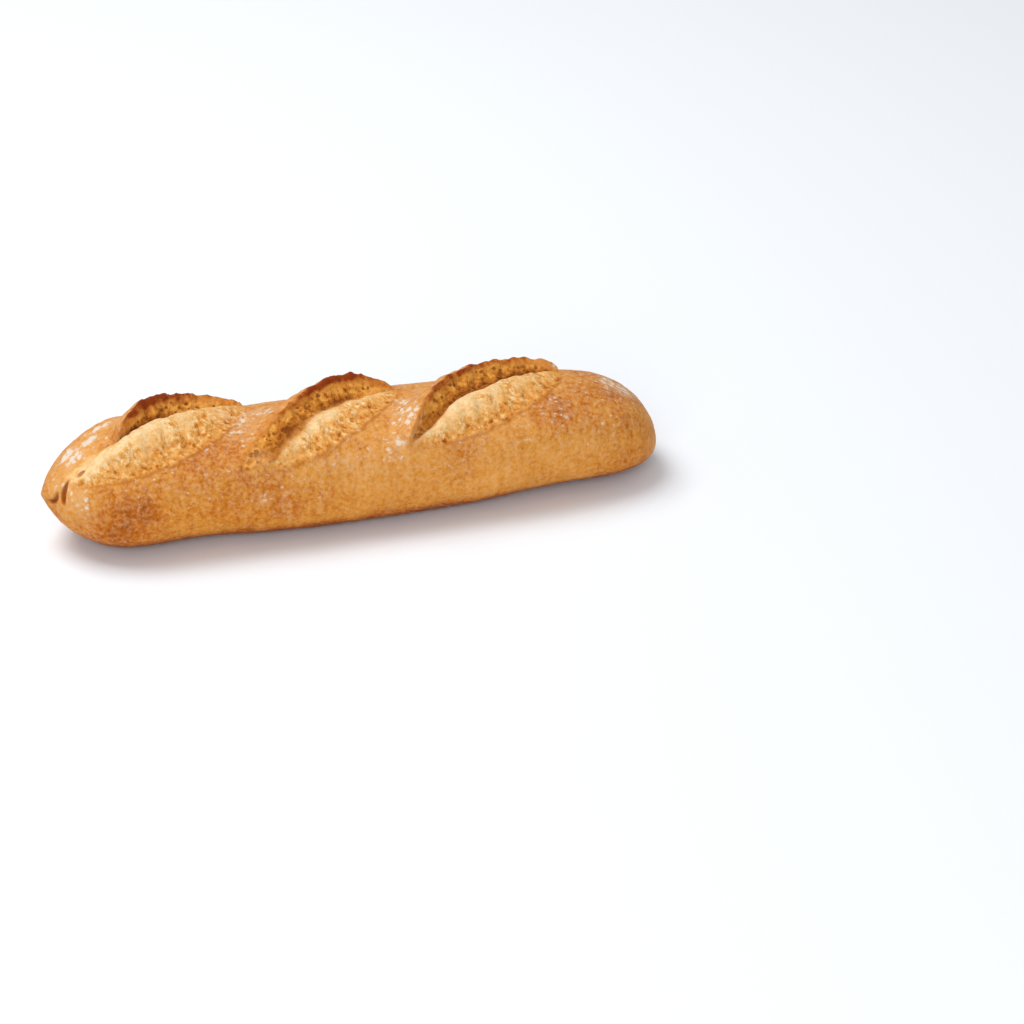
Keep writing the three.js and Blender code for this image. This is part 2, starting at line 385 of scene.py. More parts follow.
class OpenSlash:
    """One slash laid out over the skin: where its edges run, and what it does to the crust."""

    def __init__(self, form: SlashForm, slash: Slash, along: Array, round_: Array) -> None:
        """Finds the slash's edges.

        Args:
            form: What all the slashes share.
            slash: The slash.
            along: Places along the loaf.
            round_: Places round the loaf, as distances from its crest.
        """
        dx = along - slash.along
        dr = round_ - slash.round
        self.form = form
        self.slash = slash
        self.way = dx * math.cos(form.angle) + dr * math.sin(form.angle)
        self.across = dr * math.cos(form.angle) - dx * math.sin(form.angle)
        self.share = self.way / slash.half_length
        self.ear_share = (2 * self.share - 1 - slash.ear_from) / (1 - slash.ear_from)
        self.inside = np.abs(self.share) < 1.0
        self.middle = swell(self.share, 0.0)
        self.torn = ragged(self.way, slash.phase)
        self.frayed = ragged(self.way, slash.phase + form.fray_phase)
        self.near_edge = self.find_near_edge()
        self.foot = self.find_foot()
        self.ear_edge = self.find_ear_edge()
        self.rise = np.clip((self.across - self.near_edge) / (self.foot - self.near_edge), 0.0, 1.0)
        fullness = swell(self.ear_share, slash.height_lean) ** slash.ear_fullness
        self.ear = slash.ear_height * fullness * (1 + form.ear_fray * self.frayed)

    def past(self, edge: Array, span: Span) -> Array:
        """Rises from 0 at a span's first distance from an edge to 1 at its second."""
        return smoothstep(self.across, edge + span[0], edge + span[1])

    def find_near_edge(self) -> Array:
        """Finds the near edge, which is ragged and scalloped.

        Returns:
            The edge's place across the slash.
        """
        form, slash = self.form, self.slash
        edge = -slash.near_width * swell(self.share, slash.near_lean) ** form.edge_fullness
        turn = np.pi * self.way / form.scallop_length + slash.phase + form.scallop_sway * self.frayed
        scallops = np.abs(np.sin(turn)) - form.scallop_front
        return edge + (form.fray * self.frayed + form.scallop * scallops) * self.middle

    def find_foot(self) -> Array:
        """Finds the wall's foot, which comes forward in the notch.

        Returns:
            The foot's place across the slash.
        """
        form, slash = self.form, self.slash
        notch = slash.notch * bell(self.share - form.notch_at, form.notch_length) * self.middle
        foot = slash.wall_foot * self.middle - notch + form.foot_fray * self.torn * self.middle
        return np.maximum(foot, self.near_edge + form.least_bloom)

    def find_ear_edge(self) -> Array:
        """Finds the ear's ragged edge.

        Returns:
            The edge's place across the slash.
        """
        form, slash = self.form, self.slash
        fullness = swell(self.ear_share, slash.reach_lean) ** form.reach_fullness
        reach = (slash.ear_reach - slash.wall_foot) * fullness
        chips = form.fray * self.torn * swell(self.ear_share, 0.0)
        return np.maximum(slash.wall_foot * self.middle + reach + chips, self.foot + form.least_wall)

    def bloom(self) -> Array:
        """Swells the crumb.

        Returns:
            How high it stands, which falls in part before the wall and then behind the wall's foot.
        """
        form, slash = self.form, self.slash
        late = self.rise**form.bloom_lateness
        swelling = (4 * late * (1 - late)) ** form.bloom_roundness
        swelling = np.where(late > 0.5, slash.hold + (1 - slash.hold) * swelling, swelling)
        end = np.maximum(self.ear_edge, self.foot + form.hold_fall)
        held = slash.hold * (1.0 - smoothstep(self.across, self.foot, end))
        height = slash.bloom * swell(self.share, form.bloom_lean)
        return height * np.where(self.across <= self.foot, swelling, held)

    def raise_ear(self) -> Array:
        """Raises the wall and the ear.

        Returns:
            How high they stand: climbing to the ear's edge, and falling behind it.
        """
        form = self.form
        climb = np.clip((self.across - self.foot) / (self.ear_edge - self.foot), 0.0, 1.0)
        behind = (self.across - self.ear_edge) / form.ear_fall
        fall = 1.0 - smoothstep(behind, -form.ear_fall_start, 1.0)
        fall = fall / (1.0 - smoothstep(np.zeros(1), -form.ear_fall_start, 1.0))
        return self.ear * np.where(self.across <= self.ear_edge, climb**form.climb_lateness, fall)

    def fold(self) -> Array:
        """Lays a fold along the front of the bloom.

        Returns:
            How deep the fold is.
        """
        form = self.form
        apart = (self.rise - form.fold_at + form.fold_slant * self.share) * (self.foot - self.near_edge)
        folded = bell(apart - form.fray * self.frayed, form.fold_width)
        folded = folded * smoothstep(self.share, *form.fold_start)
        return self.slash.fold * (folded * (1.0 - smoothstep(self.share, *form.fold_end)))

    def lumps(self) -> Array:
        """Makes the crumb lumpy.

        Returns:
            How high its lumps are, which start behind the lip and end under the ear.
        """
        form = self.form
        waves = [
            np.sin(2 * np.pi * (self.way / along + self.across / across) + phase)
            for along, across, phase in form.crumb_waves
        ]
        behind_lip = self.past(self.near_edge, (0.0, form.crumb_edge))
        under_ear = 1.0 - self.past(self.ear_edge, (-form.crumb_edge, 0.0))
        return form.crumb_lumps * self.middle * behind_lip * under_ear * (sum(waves) / len(waves))

    def lift(self) -> Array:
        """Lifts the crust.

        Returns:
            How far it lifts, as lip, bloom, wall and ear, with the fold and the lumps.
        """
        lip = self.form.lip * self.middle * bell(self.across - self.near_edge, self.form.lip_width)
        lift = lip + self.bloom() + self.raise_ear() - self.fold() + self.lumps()
        return np.where(self.inside, lift, 0.0)

    def slide(self) -> Array:
        """Slides the crust across the slash.

        Returns:
            How far it slides: back at the wall's foot, and forward at the ear's edge.
        """
        form = self.form
        back = form.foot_undercut * self.middle * bell(self.across - self.foot, form.slide_width)
        lean = form.ear_overhang * swell(self.ear_share, form.overhang_lean)
        slide = back - lean * bell(self.across - self.ear_edge, form.slide_width)
        return np.where(self.inside, slide, 0.0)

    def zones(self, marks: SlashMarks) -> dict[Zone, Array]:
        """Marks the zones of the slash.

        Args:
            marks: Where the zones start and end.

        Returns:
            How far each zone reaches at each place.
        """
        slash, share, across, ear_edge = self.slash, self.share, self.across, self.ear_edge
        opened = smoothstep(self.middle, *marks.opening)
        ear_open = smoothstep(swell(self.ear_share, 0.0), *marks.ear_opening)
        front = 1.0 - smoothstep(share, *marks.front)
        # The wall's colours, with their painted shade, reach over the bloom up to this line.
        shade = self.foot - slash.shade * bell(share - slash.shade_at, marks.shade_length)
        soft = marks.shade_soft + marks.held_soft * max(0.0, slash.hold - 0.5)
        spill = marks.spill * (1.0 - smoothstep(share, slash.ear_from - marks.spill_end, slash.ear_from))
        covered = smoothstep(across, shade - soft + marks.spill_fade * spill, shade + soft + spill)
        crumb = opened * self.past(self.near_edge, marks.crumb_start) * (1.0 - covered)
        shaded_by_wall = 1.0 - marks.rise_lost * self.past(shade, marks.rise_fall)
        by_back = 1.0 - marks.back_lost * smoothstep(share, *marks.back_fall)
        wall = self.past(shade, (-soft, soft)) * (1.0 - self.past(ear_edge, marks.wall_end))
        # How far up the wall a place is, which sets the wall's painted shade.
        climb = np.maximum(smoothstep(across, self.foot, ear_edge), marks.front_climb * front)
        rim = self.past(ear_edge, marks.ear_start) * (1.0 - self.past(ear_edge, marks.ear_end))
        burn_from = (1.0 - marks.burn_start) * self.foot + marks.burn_start * ear_edge
        burn = (self.ear / marks.burn_height) ** marks.burn_power * (1.0 - marks.front_unburnt * front)
        # Painted shade along the wall's foot, under the ear: darker where the bloom holds less of its
        # height.
        crease = bell(across - self.foot, marks.crease_shade_width) * (marks.crease_shade_depth - slash.hold)
        crease_shade_start, crease_shade_full = (slash.ear_from + place for place in marks.crease_shade_start)
        return {
            Zone.BLOOM: crumb,
            Zone.RISE: crumb * self.rise * shaded_by_wall * by_back,
            Zone.WALL: ear_open * wall,
            Zone.CLIMB: ear_open * climb,
            Zone.EAR: ear_open * rim,
            Zone.BURN: ear_open * burn * smoothstep(across, burn_from, ear_edge),
            # The dark band before the near edge, under the raised lip: partly toasted crust, partly painted
            # shade.
            Zone.LIP: opened * bell(across - self.near_edge + marks.lip_width, marks.lip_width),
            Zone.CREASE: opened * crease * smoothstep(share, crease_shade_start, crease_shade_full),
        }


@dataclass(frozen=True)
class PinchedTip:
    """The tip where the dough was pinched shut: a nub set off by a moat, with a groove beside it.

    Attributes:
        nub: The nub's middle, in mm across the loaf and up.
        nub_reach: How far it reaches, in mm.
        moat_side: Which way from the nub the moat is deepest.
        moat_width: How wide the moat is, as a share of the nub's reach.
        moat_depth: How deep it is, in mm.
        groove: The groove's middle, in mm across and up.
        groove_size: Half its width and half its height, in mm.
        groove_lean: How far it leans across for each mm up.
        groove_depth: How deep it is, in mm.
        pit: The pit's middle, in mm across and up.
        pit_size: Its radius, in mm.
        pit_depth: How deep it is, in mm.
        inward: The way that all of them are pressed, along the loaf and across.
        inward_from: Where the tip begins along the loaf, in mm.
        inward_fade: How far beyond that its folds have their full depth, in mm.
        groove_shading: The parts of the groove's depth where its painted shade starts and is full.
        moat_shading: The same for the moat.
        pit_shading: The same for the pit.
        pit_shade: How dark the pit's painted shade is beside the others.
    """

    nub: tuple[float, float] = (-5.5, 24.0)
    nub_reach: tuple[float, float] = (3.9, 3.4)
    moat_side: tuple[float, float] = (-0.8, -0.6)
    moat_width: float = 0.3
    moat_depth: float = 1.2
    groove: tuple[float, float] = (-11.8, 26.2)
    groove_size: tuple[float, float] = (1.0, 3.6)
    groove_lean: float = 0.34
    groove_depth: float = 1.8
    pit: tuple[float, float] = (-12.2, 33.7)
    pit_size: float = 0.9
    pit_depth: float = 1.0
    inward: tuple[float, float] = (0.75, 0.66)
    inward_from: float = -96.0
    inward_fade: float = 8.0
    groove_shading: Span = (0.1, 0.45)
    moat_shading: Span = (0.1, 0.9)
    pit_shading: Span = (0.02, 0.4)
    pit_shade: float = 0.7

    def press(self, points: Array) -> tuple[Array, Array]:
        """Presses the tip into the loaf's end.

        Args:
            points: The skin's points.

        Returns:
            The pressed points, and how dark the painted shade in the folds is at each.
        """
        x, y, z = points.T
        near = 1.0 - smoothstep(x, self.inward_from - self.inward_fade, self.inward_from)
        aside = (y - self.nub[0]) / self.nub_reach[0]
        above = (z - self.nub[1]) / self.nub_reach[1]
        ring = np.maximum(np.hypot(aside, above), 1e-6)
        facing = np.clip((self.moat_side[0] * aside + self.moat_side[1] * above) / ring, 0.0, 1.0)
        moat = facing * bell(ring - 1.0, self.moat_width)
        dy = y - self.groove[0] - self.groove_lean * (z - self.groove[1])
        groove = bell(dy, self.groove_size[0]) * bell(z - self.groove[1], self.groove_size[1])
        pit = bell(np.hypot(y - self.pit[0], z - self.pit[1]), self.pit_size)
        depth = near * (self.moat_depth * moat + self.groove_depth * groove + self.pit_depth * pit)
        pressed = points.copy()
        pressed[:, 0] += self.inward[0] * depth
        pressed[:, 1] += self.inward[1] * depth
        # Painted shade, darkest where the groove, moat and pit are deepest.
        folds = np.maximum(smoothstep(groove, *self.groove_shading), smoothstep(moat, *self.moat_shading))
        return pressed, near * np.maximum(folds, self.pit_shade * smoothstep(pit, *self.pit_shading))


@dataclass(frozen=True)
class Patch:
    """A place where the crust is dusted or toasted, in mm along and round the loaf."""

    along: float
    round: float
    reach_along: float
    reach_round: float
    strength: float

    def cover(self, along: Array, round_: Array) -> Array:
        """How strongly the patch shows."""
        apart = np.hypot((along - self.along) / self.reach_along, (round_ - self.round) / self.reach_round)
        return self.strength * bell(apart, 1.0)


@dataclass(frozen=True)
class Relief:
    """A layer of relief pressed into one zone of the crust.

    Attributes:
        name: What the layer is called.
        grain: The texture it is pressed from.
        zone: The vertex group that it shows in.
        size: Size of its lumps or pores, in mm.
        depth: How deep it goes, in mm.
        stretch: How many times longer it is along a slash, across it and upwards.
        octaves: How many finer sizes ride on its lumps.
        ridge_strength: How strong its ridges are.
        pore_edge: Where a pore's side starts and ends, in the texture's distances from its rim.
    """

    name: str
    grain: Grain
    zone: Zone
    size: float
    depth: float
    stretch: Place = (1.0, 1.0, 1.0)
    octaves: int = 1
    ridge_strength: float = 0.4
    pore_edge: Span = (0.03, 0.45)

    def press(self, piece: bpy.types.Object, guide: bpy.types.Object) -> None:
        """Displaces the piece by this layer, and applies it.

        Args:
            piece: The loaf.
            guide: An empty that the texture is laid out by.
        """
        texture = bpy.data.textures.new(self.name, self.grain.value)
        texture.noise_scale = self.size * MM
        if self.grain is Grain.LUMPS:
            texture.noise_depth = self.octaves
            texture.noise_basis = "IMPROVED_PERLIN"
        elif self.grain is Grain.RIDGES:
            texture.musgrave_type = "RIDGED_MULTIFRACTAL"
            texture.octaves = self.octaves
            texture.noise_intensity = self.ridge_strength
        else:
            texture.weight_1, texture.weight_2 = -1.0, 1.0
            texture.noise_intensity = 1.0
            texture.use_color_ramp = True
            stops = texture.color_ramp.elements
            for stop, place, shade in zip(stops, self.pore_edge, (1.0, 0.0)):
                stop.position = place
                stop.color = (shade, shade, shade, 1.0)
        layer = piece.modifiers.new(self.name, "DISPLACE")
        layer.texture = texture
        layer.texture_coords = "OBJECT"
        layer.texture_coords_object = guide
        layer.vertex_group = self.zone.value
        layer.strength = self.depth * MM
        layer.mid_level = self.grain.level
        guide.scale = self.stretch
        bpy.context.view_layer.update()
        bpy.ops.object.modifier_apply(modifier=layer.name)
        bpy.data.textures.remove(texture)


class Value:
    """A number in a node tree. Sums with it add the Math nodes that work them out."""

    def __init__(self, tree: bpy.types.NodeTree, socket: bpy.types.NodeSocket) -> None:
        """Wraps a number's socket.

        Args:
            tree: The node tree that the socket is in.
            socket: The output that gives the number.
        """
        self.tree = tree
        self.socket = socket

    def math(self, operation: str, first: Any, second: Any) -> "Value":
        """Adds a Math node.

        Args:
            operation: The Math node's operation.
            first: Its first term.
            second: Its second term.

        Returns:
            The result.
        """
        made = self.tree.nodes.new("ShaderNodeMath")
        made.operation = operation
        for socket, term in zip(made.inputs, (first, second)):
            if isinstance(term, Value):
                self.tree.links.new(term.socket, socket)
            else:
                socket.default_value = term
        return Value(self.tree, made.outputs[0])

    def __add__(self, other: "Number") -> "Value":
        """This value plus another."""
        return self.math("ADD", self, other)

    def __radd__(self, other: "Number") -> "Value":
        """A number plus this value."""
        return self.math("ADD", other, self)

    def __sub__(self, other: "Number") -> "Value":
        """This value less another."""
        return self.math("SUBTRACT", self, other)

    def __rsub__(self, other: "Number") -> "Value":
        """A number less this value."""
        return self.math("SUBTRACT", other, self)

    def __mul__(self, other: "Number") -> "Value":
        """This value times another."""
        return self.math("MULTIPLY", self, other)

    def __rmul__(self, other: "Number") -> "Value":
        """A number times this value."""
        return self.math("MULTIPLY", other, self)

    def __truediv__(self, other: "Number") -> "Value":
        """This value over another."""
        return self.math("DIVIDE", self, other)

    def __rtruediv__(self, other: "Number") -> "Value":
        """A number over this value."""
        return self.math("DIVIDE", other, self)

    def held(self) -> "Value":
        """Holds this value between 0 and 1.

        Returns:
            The held value.
        """
        made = self.math("ADD", self, 0.0)
        made.socket.node.use_clamp = True
        return made

    def step(self, low: float, high: float) -> "Value":
        """Rises from 0 where this value is low to 1 where it is high.

        Args:
            low: Where the rise starts.
            high: Where it ends.

        Returns:
            The share, between 0 and 1.
        """
        return ((self - low) / (high - low)).held()


Number = Union[Value, float]


class Shader:
    """A material's node tree, with the few kinds of node that bread is coloured from."""

    def __init__(self, name: str) -> None:
        """Starts a material that has only its surface shader.

        Args:
            name: The material's name.
        """
        self.material = bpy.data.materials.new(name)
        self.material.use_nodes = True
        self.tree = self.material.node_tree
        self.surface = self.tree.nodes["Principled BSDF"]
        self.place = self.node("ShaderNodeTexCoord", {}, {}).outputs["Object"]

    def node(self, kind: str, settings: dict[str, Any], inputs: dict[Any, Any]) -> bpy.types.Node:
        """Adds a node.

        Args:
            kind: The node's type.
            settings: Its own settings, which are set first. A ramp's stops are (place, colour) pairs.
            inputs: The values or links of its sockets, by name or number.

        Returns:
            The node.
        """
        made = self.tree.nodes.new(kind)
        for name, setting in settings.items():
            if name == "stops":
                elements = made.color_ramp.elements
                while len(elements) < len(setting):
                    elements.new(0.5)
                for element, (place, colour) in zip(elements, setting):
                    element.position = place
                    element.color = colour
            else:
                setattr(made, name, setting)
        for name, given in inputs.items():
            source = given.socket if isinstance(given, Value) else given
            if isinstance(source, bpy.types.NodeSocket):
                self.tree.links.new(source, made.inputs[name])
            else:
                made.inputs[name].default_value = source
        return made

    def zone(self, zone: Zone) -> Value:
        """Reads how far a zone of the crust reaches here."""
        made = self.node("ShaderNodeAttribute", {"attribute_name": zone.value}, {})
        return Value(self.tree, made.outputs["Fac"])

    def laid(self, stretch: Place, turn: float) -> bpy.types.NodeSocket:
        """Lays out a texture's places.

        Args:
            stretch: How many times longer the texture is along each of its axes.
            turn: How far those axes are turned about the loaf's height, in radians.

        Returns:
            The socket that gives the places.
        """
        inputs = {"Vector": self.place, "Rotation": (0.0, 0.0, turn), "Scale": stretch}
        return self.node("ShaderNodeMapping", {"vector_type": "TEXTURE"}, inputs).outputs["Vector"]

    def cloud(self, size: float, detail: float = 2.0, rough: float = 0.5, stretch: Place = (1, 1, 1),
              turn: float = 0.0) -> Value:
        """Adds soft noise over the loaf.

        Args:
            size: Size of its patches, in mm.
            detail: How many finer sizes ride on them.
            rough: How strong the finer sizes are.
            stretch: How many times longer the patches are along each axis.
            turn: How far those axes are turned.

        Returns:
            The noise, around 0 and mostly within a half of it.
        """
        scale = 1.0 / (size * MM)
        inputs = {"Vector": self.laid(stretch, turn), "Scale": scale, "Detail": detail, "Roughness": rough}
        made = self.node("ShaderNodeTexNoise", {}, inputs)
        return Value(self.tree, made.outputs["Fac"]) - 0.5

    def cells(self, size: float, stretch: Place = (1, 1, 1), turn: float = 0.0) -> tuple[Value, Value]:
        """Adds cells scattered over the loaf.

        Args:
            size: Size of a cell, in mm.
            stretch: How many times longer the cells are along each axis.
            turn: How far those axes are turned.

        Returns:
            How far a place is from its cell's middle, in cells, and a number of the cell's own from 0 to 1.
        """
        inputs = {"Vector": self.laid(stretch, turn), "Scale": 1.0 / (size * MM)}
        made = self.node("ShaderNodeTexVoronoi", {}, inputs)
        split = self.node("ShaderNodeSeparateColor", {}, {"Color": made.outputs["Color"]})
        return Value(self.tree, made.outputs["Distance"]), Value(self.tree, split.outputs[0])

    def ramp(self, share: Value, *stops: tuple[float, Colour]) -> bpy.types.NodeSocket:
        """Colours a share by a ramp, from (place, colour) stops."""
        return self.node("ShaderNodeValToRGB", {"stops": stops}, {"Fac": share}).outputs["Color"]

    def mix(self, share: Number, first: Any, second: Any) -> bpy.types.NodeSocket:
        """Mixes two colours.

        Args:
            share: How much of the second one is used.
            first: A colour or its socket.
            second: A colour or its socket.

        Returns:
            The mixed colour's socket.
        """
        made = self.node("ShaderNodeMix", {"data_type": "RGBA"}, {0: share, 6: first, 7: second})
        return made.outputs[2]

    def feed(self, name: str, given: Any) -> None:
        """Links or sets one of the surface shader's sockets.

        Args:
            name: The socket's name.
            given: A value, a socket to link or a constant.
        """
        source = given.socket if isinstance(given, Value) else given
        if isinstance(source, bpy.types.NodeSocket):
            self.tree.links.new(source, self.surface.inputs[name])
        else:
            self.surface.inputs[name].default_value = source


class BreadShader(Shader):
    """A bread material's node tree, with the zones and the noises that its colours share."""

    def __init__(self, name: str, slash_turn: float) -> None:
        """Reads the loaf's zones, and adds the noises.

        Args:
            name: The material's name.
            slash_turn: How far the slashes turn from the loaf's length, in radians.
        """
        super().__init__(name)
        self.fold = self.zone(Zone.FOLD)
        self.bloom = self.zone(Zone.BLOOM) * (1.0 - self.fold)
        self.wall = self.zone(Zone.WALL)
        self.climb = self.zone(Zone.CLIMB)
        self.ear = self.zone(Zone.EAR)
        self.relief = self.zone(Zone.RELIEF)
        self.toast = self.zone(Zone.TOAST)
        self.flour = self.zone(Zone.FLOUR)
        self.crease = self.zone(Zone.CREASE)
        self.lip = self.zone(Zone.LIP)
        self.rise = self.zone(Zone.RISE)
        self.torn = self.zone(Zone.TORN)
        self.burn = self.zone(Zone.BURN)
        self.patches = self.cloud(size=22.0, detail=3.0)
        self.mottle = self.cloud(size=3.6, detail=3.0, rough=0.6)
        self.speckle = self.cloud(size=1.4, detail=2.0, rough=0.6)
        self.streaks = self.cloud(size=2.6, stretch=(1.0, 5.0, 5.0))
        self.marks = self.cloud(size=1.4, rough=0.6, stretch=(1.0, 1.9, 1.2), turn=slash_turn)
        self.film = self.cloud(size=1.7, detail=3.0, rough=0.65)


@dataclass(frozen=True)
class CrustFinish:
    """The baked finish of the loaf, from its pale crumb to its dark ears.

    Its colours come first; wall_shade, pore and fold are painted shade, and lip is partly painted shade. The
    covers are the most that a colour hides of the one under it.
    Sizes are in mm.
    """

    pale: Colour = baked(226, 160, 84)
    golden: Colour = baked(211, 139, 52)
    toasted: Colour = baked(186, 102, 18)
    scorched: Colour = baked(150, 72, 8)
    hazed: Colour = baked(224, 180, 130)
    lip: Colour = baked(176, 92, 26)
    cream: Colour = baked(240, 211, 161)
    honey: Colour = baked(228, 168, 92)
    torn: Colour = baked(204, 128, 48)
    pit: Colour = baked(150, 80, 24)
    wall: Colour = baked(234, 166, 76)
    wall_shade: Colour = baked(194, 120, 42)
    pore: Colour = baked(130, 66, 18)
    rim: Colour = baked(210, 128, 46)
    ear: Colour = baked(142, 58, 10)
    fold: Colour = baked(132, 52, 8)
    flour: Colour = baked(228, 217, 202)
    haze_cover: float = 0.6
    rim_cover: float = 0.5
    shade_cover: float = 0.8
    flour_cover: float = 0.85
    fold_shade_cover: float = 0.9
    slash_turn: float = SLASH_ANGLE
    fleck_size: float = 2.3
    pore_size: float = 2.6
    hole_size: float = 1.1
    dryness: float = 0.5
    shine: float = 0.1
    bump_strength: float = 0.7
    bump_depth: float = 0.7

    def crust(self, bread: BreadShader) -> bpy.types.NodeSocket:
        """Colours the closed crust: browned in patches, hazed with flour, with painted shade in hollows, and
        a dark band under the lips that is part toast, part painted shade.

        Args:
            bread: The material's node tree.

        Returns:
            The colour.
        """
        browned = bread.toast + bread.patches * 0.95 + bread.mottle * 0.5 + bread.speckle * 0.9
        # Pressed-in relief is browned more: painted shade in the hollows.
        browned = browned + bread.streaks * 0.5 - bread.relief * 0.25
        colour = bread.ramp(
            browned, (0.0, self.pale), (0.36, self.golden), (0.68, self.toasted), (1.0, self.scorched)
        )
        haze = (bread.flour * 0.9 + bread.film * 2.6 + bread.patches * 0.6).step(0.0, 0.9)
        colour = bread.mix(haze * self.haze_cover, colour, self.hazed)
        # The dark band under each lip: partly toasted crust, partly painted shade.
        return bread.mix((bread.lip * (0.65 + bread.mottle * 3.0)).held(), colour, self.lip)

    def crumb(self, bread: BreadShader) -> bpy.types.NodeSocket:
        """Colours the crumb of the blooms: paler where it has risen, darker where it is torn, and darker in
        pressed-in hollows and towards the wall's foot, which is painted shade.

        Args:
            bread: The material's node tree.

        Returns:
            The colour.
        """
        broken = bread.marks * (0.3 + bread.torn * 1.2) + bread.mottle * 0.6 + bread.speckle * 0.5
        # Pressed-in relief is darker: painted shade in the hollows.
        drawn = 0.57 - bread.rise * 0.45 + broken - bread.relief * (0.15 + bread.torn * 0.3)
        return bread.ramp(drawn, (0.1, self.cream), (0.42, self.honey), (0.75, self.torn), (1.0, self.pit))

    def crags(self, bread: BreadShader) -> bpy.types.NodeSocket:
        """Colours the walls: painted shade, darkest at the foot and in dark spots for the pore holes,
        browner at the rim, and dusted in places.

        Args:
            bread: The material's node tree.

        Returns:
            The colour.
        """
        # Painted shade: darker towards the wall's foot and where the relief is pressed in, lighter higher
        # up; mottle and speckle add uneven tone.
        holes = 0.68 - bread.climb.step(0.05, 0.7) * 0.55 - bread.relief * 0.35
        holes = holes + bread.mottle * 1.5 + bread.speckle * 0.7
        colour = bread.ramp(holes, (0.1, self.wall), (0.5, self.wall_shade), (0.95, self.pore))
        colour = bread.mix(bread.burn.step(0.2, 0.8) * self.rim_cover, colour, self.rim)
        # Dark spots painted in as the shade inside the wall's pore holes.
        gaps, kind = bread.cells(self.pore_size)
        pore_shade = (0.5 - gaps - kind * 0.35 + bread.speckle * 0.5).step(0.0, 0.2)
        colour = bread.mix(pore_shade * self.shade_cover, colour, self.pore)
        return bread.mix((bread.flour - 0.3).held() * self.haze_cover, colour, self.hazed)

    def dust(self, bread: BreadShader) -> Value:
        """Scatters flecks of flour over the closed crust.

        Args:
            bread: The material's node tree.

        Returns:
            How much of the crust they hide.
        """
        apart, lot = bread.cells(self.fleck_size)
        grain = bread.cloud(size=0.9, rough=0.7)
        flecks = bread.flour * 1.3 - lot * 0.75 - apart + grain * 1.5 + bread.film * 1.1
        bare = (1.0 - bread.bloom * 0.8) * (1.0 - bread.wall) * (1.0 - bread.ear)
        bare = bare * (1.0 - bread.crease) * (1.0 - bread.fold)
        return flecks.step(0.0, 0.5) * bare * self.flour_cover

    def bump(self, bread: BreadShader) -> bpy.types.NodeSocket:
        """Roughens the bread, most in its tears and in the holes of its walls.

        Args:
            bread: The material's node tree.

        Returns:
            The bumped normal.
        """
        rough = (bread.bloom + bread.wall).held()
        holed, _ = bread.cells(self.hole_size, (1.0, 1.6, 1.0), self.slash_turn)
        tooth = bread.speckle * 0.8 + bread.mottle * 0.5 + bread.cloud(size=0.5, detail=1.0) * 0.3
        tears = bread.marks * bread.torn * 0.8 + holed.step(0.05, 0.5) * (bread.torn + bread.wall) * 0.4
        height = tooth * (0.8 + rough * 0.4) + tears * rough
        inputs = {"Height": height, "Strength": self.bump_strength, "Distance": self.bump_depth * MM}
        return bread.node("ShaderNodeBump", {}, inputs).outputs["Normal"]

    def material(self) -> bpy.types.Material:
        """Makes the bread's material, with each colour over the last.

        Returns:
            The material, which reads the loaf's own attributes.
        """
        bread = BreadShader("baked_crust", self.slash_turn)
        mottle = bread.mottle
        opened = (bread.bloom * 1.6 + mottle * 1.6 + bread.speckle - 0.3).held()
        colour = bread.mix(opened, self.crust(bread), self.crumb(bread))
        colour = bread.mix(bread.wall, colour, self.crags(bread))
        scorch = bread.ramp((bread.burn - 0.06 + mottle * 1.7).held(), (0.35, self.rim), (0.95, self.ear))
        colour = bread.mix((bread.ear * (0.25 + bread.burn + mottle * 1.6)).held(), colour, scorch)
        # Painted shade along the wall's foot, in the pore colour.
        crease_shaded = (bread.crease * (0.8 + mottle * 2.0)).held()
        colour = bread.mix(crease_shaded * self.shade_cover, colour, self.pore)
        dusted = self.dust(bread)
        colour = bread.mix(dusted, colour, self.flour)
        # Painted shade in the tip's groove, moat and pit.
        folded = (bread.fold * (0.9 + mottle)).held()
        bread.feed("Base Color", bread.mix(folded * self.fold_shade_cover, colour, self.fold))
        dry = bread.bloom * 0.2 + (bread.wall + bread.crease + bread.fold) * 0.4 + dusted * 0.4
        bread.feed("Roughness", (self.dryness + dry + mottle * 0.4).held())
        bread.feed("Specular IOR Level", self.shine)
        bread.feed("Normal", self.bump(bread))
        return bread.material


